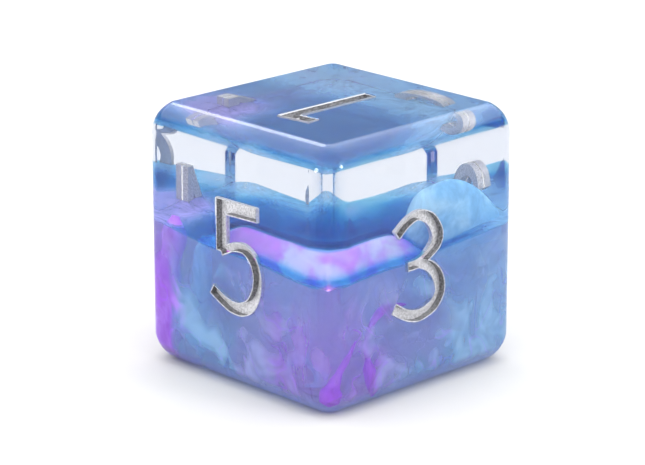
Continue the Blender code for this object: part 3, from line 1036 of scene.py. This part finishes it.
class DIE_OT_ink_lobe(bpy.types.Operator):
    """Billow the pale blue lobe up behind the three"""

    bl_idname = "die.ink_lobe"
    bl_label = "Pale Blue Lobe"

    def execute(self, context):
        shape = bmesh.new()
        centre = Vector((5.4, 3.4, 8.0)) * MM
        bmesh.ops.create_icosphere(
            shape,
            subdivisions=5,
            radius=1.0,
            matrix=Matrix.Translation(centre) @ Matrix.Diagonal((1.85 * MM, 4.3 * MM, 3.9 * MM, 1)),
        )
        for vert in shape.verts:
            out = vert.co - centre
            vert.co += out * 0.05 * noise.noise(vert.co / (1.8 * MM))
            vert.co.z -= 0.2 * out.y
        mesh = finished_mesh(shape, "ink_lobe")
        surface = ink_surface(
            "pale_lobe_ink",
            (0.20, 0.56, 0.94),
            (0.44, 0.76, 0.97),
            (0.0, 0.6, 1.0),
            90,
            0.7,
            (0.3, 0.3, 0.3),
            (6.0, 9.5),
        )
        add_piece("ink_lobe", mesh, "pale_blue_ink", "blue_ink_dome", surface)
        return {"FINISHED"}


class DIE_OT_ink_strands(bpy.types.Operator):
    """Let the purple plume, the drips, the blue column and the curl hang from the film"""

    bl_idname = "die.ink_strands"
    bl_label = "Hanging Inks"

    def execute(self, context):
        colours = context.scene.die_colours
        purple = ink_surface(
            "purple_strand_ink",
            tuple(colours.purple),
            (0.50, 0.16, 0.90),
            (0.25, 0.0, 0.80),
            1200,
            1.0,
            (0.8, 0.8, 0.25),
        )
        plume = ink_surface(
            "purple_plume_ink",
            (0.52, 0.16, 0.95),
            (0.62, 0.42, 1.0),
            (0.6, 0.0, 0.95),
            380,
            1.0,
            (0.8, 0.8, 0.25),
        )
        pale = ink_surface(
            "pale_strand_ink",
            (0.18, 0.60, 0.98),
            (0.45, 0.75, 1.0),
            (0.0, 0.6, 0.96),
            260,
            0.6,
            (0.7, 0.7, 0.3),
        )
        strands = [
            (
                "ink_plume",
                [
                    (-5.6, -6.7, 9.3),
                    (-5.9, -6.6, 7.4),
                    (-6.6, -6.6, 5.2),
                    (-6.4, -6.6, 3.2),
                    (-6.2, -6.7, 0.9),
                ],
                [0.3, 1.0, 0.8, 1.2, 0.9, 1.2, 0.5],
                plume,
                "purple_ink",
                "purple_ink_plume",
            ),
            (
                "long_drip",
                [
                    (6.9, -1.2, 5.5),
                    (7.1, -3.0, 5.7),
                    (7.2, -4.1, 5.1),
                    (7.25, -4.6, 4.0),
                    (7.25, -4.35, 2.4),
                    (7.2, -3.9, 0.65),
                ],
                [0.05, 0.16, 0.24, 0.32, 0.26, 0.2, 0.17, 0.17, 0.22, 0.5, 0.52, 0.08],
                purple,
                "purple_ink",
                "long_ink_drip",
            ),
            (
                "short_drip",
                [(6.7, -5.2, 4.2), (6.8, -6.0, 3.0), (7.0, -6.8, 1.6), (6.9, -6.9, 0.7)],
                [0.06, 0.14, 0.16, 0.16, 0.3, 0.55, 0.5, 0.06],
                purple,
                "purple_ink",
                "short_ink_drip",
            ),
            (
                "ink_column",
                [
                    (-3.6, -5.9, 8.4),
                    (-3.8, -5.8, 6.4),
                    (-4.2, -5.7, 4.2),
                    (-4.3, -5.9, 2.4),
                    (-4.0, -6.0, 1.0),
                ],
                [0.1, 0.7, 0.8, 1.0, 0.8, 1.1, 0.3],
                pale,
                "pale_blue_ink",
                "blue_ink_column",
            ),
            (
                "ink_curl",
                [
                    (4.4, -6.0, 0.9),
                    (3.7, -6.0, 1.6),
                    (3.9, -6.0, 2.5),
                    (4.8, -6.0, 2.9),
                    (5.6, -6.0, 2.4),
                    (5.6, -6.0, 1.6),
                    (4.9, -6.0, 1.3),
                ],
                [0.06, 0.25, 0.3, 0.26, 0.2, 0.16, 0.05],
                pale,
                "pale_blue_ink",
                "pale_ink_curl",
            ),
        ]
        for name, points, widths, surface, slot, stands_for in strands:
            mesh = drawn_tube(name, bent_route(points), graded(widths), 60, 24)
            add_piece(name, mesh, slot, stands_for, surface)
        return {"FINISHED"}


class DIE_OT_violet_ribbon(bpy.types.Operator):
    """Lay the pale violet ribbon of ink under the film's front slope"""

    bl_idname = "die.violet_ribbon"
    bl_label = "Violet Ribbon"

    def execute(self, context):
        shape = bmesh.new()
        bmesh.ops.create_grid(shape, x_segments=120, y_segments=120, size=HALF - 0.12 * MM)
        for vert in shape.verts:
            x, y = vert.co.x, vert.co.y
            lift = 0.10 * MM * noise.noise(Vector((x, y, 0)) / (1.6 * MM))
            vert.co.z = boundary_height(x, y) - film_half(x, y) - 0.14 * MM + lift
        bmesh.ops.delete(
            shape,
            geom=[vert for vert in shape.verts if ribbon_cover(vert.co.x, vert.co.y) <= 0],
            context="VERTS",
        )
        mesh = finished_mesh(shape, "violet_ribbon")
        cover = mesh.attributes.new("cover", "FLOAT", "POINT")
        for vert in mesh.vertices:
            cover.data[vert.index].value = ribbon_cover(vert.co.x, vert.co.y)
        surface, tree, shader = new_surface("violet_ribbon_ink")
        streak = swirls(tree, in_millimetres(tree, (0.5, 0.5, 0.5), (2, 5, 1)), 2.2, 0.4, 0.62, 0.05)
        mixed = blend(tree, streak["Cloud"], (0.80, 0.24, 0.95), (0.86, 0.70, 1.0))
        tree.links.new(mixed, shader.inputs["Base Color"])
        hold = node(tree, "ShaderNodeAttribute", {"attribute_name": "cover"})
        torn = maths(tree, "ADD", hold.outputs["Fac"], maths(tree, "MULTIPLY", streak["Mottle"], 0.5))
        edge = node(
            tree,
            "ShaderNodeMapRange",
            None,
            {"Value": torn, "From Min": 0.3, "From Max": 0.8, "To Max": 0.95},
        )
        tree.links.new(edge.outputs[0], shader.inputs["Alpha"])
        set_in_resin(shader)
        add_piece("violet_ribbon", mesh, "violet_ink", "violet_ink_veil", surface)
        return {"FINISHED"}


class DIE_OT_silver_linings(bpy.types.Operator):
    """Line every numeral's groove with grainy silver paint, its inner walls darkened as painted shade"""

    bl_idname = "die.silver_linings"
    bl_label = "Silver Numeral Paint"

    def execute(self, context):
        floor_paint = silver_paint("silver_numeral_paint", 1.0, 0.62)
        # The groove walls get a darker copy of the same silver: painted shade in the groove's recess.
        shaded_wall_paint = silver_paint("painted_shade_wall_paint", 0.42, 0.12)
        floor = -GROOVE_DEPTH - BOND
        for name in FACES:
            looks = FACES[name][1]
            outside = numeral_prism(name, BOND, floor, -PAINT_RIM)
            inside = numeral_prism(name, -PAINT_WALL, floor + PAINT_FLOOR, OVERCUT / 2)
            outside.materials.append(floor_paint)
            inside.materials.append(shaded_wall_paint)
            mesh = combined(outside, ("DIFFERENCE", inside))
            for face in mesh.polygons:
                face.use_smooth = False
                # Faces that look out of the face, the lining's floor and rim, take the bright paint; the
                # walls facing into the groove keep the darker copy, which is painted shade.
                if face.normal.dot(looks) > 0.5:
                    face.material_index = mesh.materials.find(floor_paint.name)
            add_piece(f"silver_{name}", mesh, "silver_paint", f"paint_{name}")
        return {"FINISHED"}


class DIE_OT_studio(bpy.types.Operator):
    """Set the pale floor, the soft lights and the camera"""

    bl_idname = "die.studio"
    bl_label = "Studio"

    def execute(self, context):
        scene = context.scene
        add_table()
        scene.world = pale_room()
        add_softboxes(scene)
        scene.camera = add_camera(scene)
        scene.view_settings.view_transform = "Standard"
        scene.cycles.max_bounces = 32
        scene.cycles.transmission_bounces = 24
        scene.cycles.transparent_max_bounces = 32
        scene.cycles.glossy_bounces = 16
        scene.cycles.diffuse_bounces = 6
        scene.cycles.volume_bounces = 24
        return {"FINISHED"}


class DIE_PT_workshop(bpy.types.Panel):
    bl_idname = "DIE_PT_workshop"
    bl_label = "Resin Die"
    bl_space_type = "VIEW_3D"
    bl_region_type = "UI"
    bl_category = "Resin Die"

    def draw(self, context):
        for settings in (context.scene.die_sizes, context.scene.die_colours, context.scene.die_studio):
            for name in settings.__annotations__:
                self.layout.prop(settings, name)
        for operator in OPERATORS:
            self.layout.operator(operator.bl_idname)


OPERATORS = (
    DIE_OT_resin_block,
    DIE_OT_milky_pour,
    DIE_OT_ink_film,
    DIE_OT_ink_lobe,
    DIE_OT_ink_strands,
    DIE_OT_violet_ribbon,
    DIE_OT_silver_linings,
    DIE_OT_studio,
)
CLASSES = (DieSizes, DieColours, StudioSettings, *OPERATORS, DIE_PT_workshop)


def register():
    for kind in CLASSES:
        bpy.utils.register_class(kind)
    bpy.types.Scene.die_sizes = bpy.props.PointerProperty(type=DieSizes)
    bpy.types.Scene.die_colours = bpy.props.PointerProperty(type=DieColours)
    bpy.types.Scene.die_studio = bpy.props.PointerProperty(type=StudioSettings)


def unregister():
    del bpy.types.Scene.die_sizes
    del bpy.types.Scene.die_colours
    del bpy.types.Scene.die_studio
    for kind in reversed(CLASSES):
        bpy.utils.unregister_class(kind)


def main():
    register()
    bpy.ops.die.resin_block()
    bpy.ops.die.milky_pour()
    bpy.ops.die.ink_film()
    bpy.ops.die.ink_lobe()
    bpy.ops.die.ink_strands()
    bpy.ops.die.violet_ribbon()
    bpy.ops.die.silver_linings()
    bpy.ops.die.studio()


if __name__ == "__main__":
    main()
